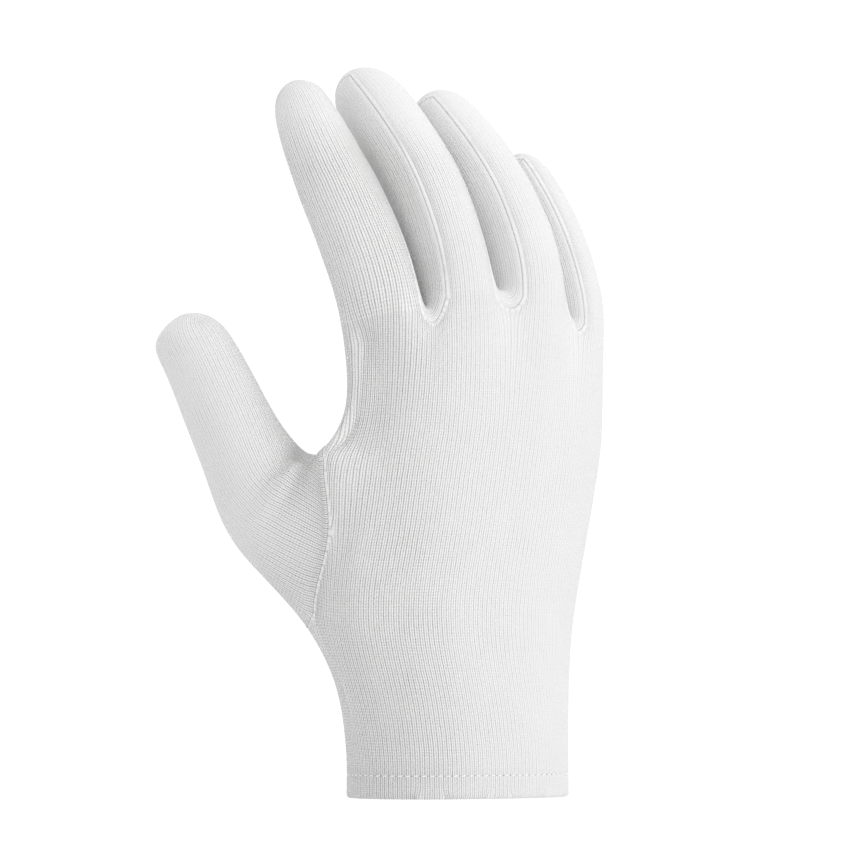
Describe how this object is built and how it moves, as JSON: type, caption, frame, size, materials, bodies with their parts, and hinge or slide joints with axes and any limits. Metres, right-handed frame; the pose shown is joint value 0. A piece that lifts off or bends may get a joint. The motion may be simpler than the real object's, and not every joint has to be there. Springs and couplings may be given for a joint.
{
  "type": "cotton work glove",
  "caption": "White knitted cotton work glove for the right hand, with a set-in thumb, side strips between the fingers and a turned, stitched cuff hem; keeps hands and handled things clean.",
  "frame": {"origin": "centre of the hand opening, in the plane of the hem's lower edge", "axes": "+Z runs from the cuff to the fingertips, -Y is where the back of the hand faces, the thumb is on the -X side"},
  "size_m": [0.1384, 0.0784, 0.2269],
  "materials": {
    "knit_cotton": "matte bleached cotton interlock knit, fine lengthwise ribs, slightly fuzzy"
  },
  "bodies": {
    "root": {"hand_panel": "knit_cotton", "fourchette_index_middle": "knit_cotton", "fourchette_middle_ring": "knit_cotton", "fourchette_ring_little": "knit_cotton", "cuff_hem": "knit_cotton", "thumb": "knit_cotton"}
  },
  "joints": []
}
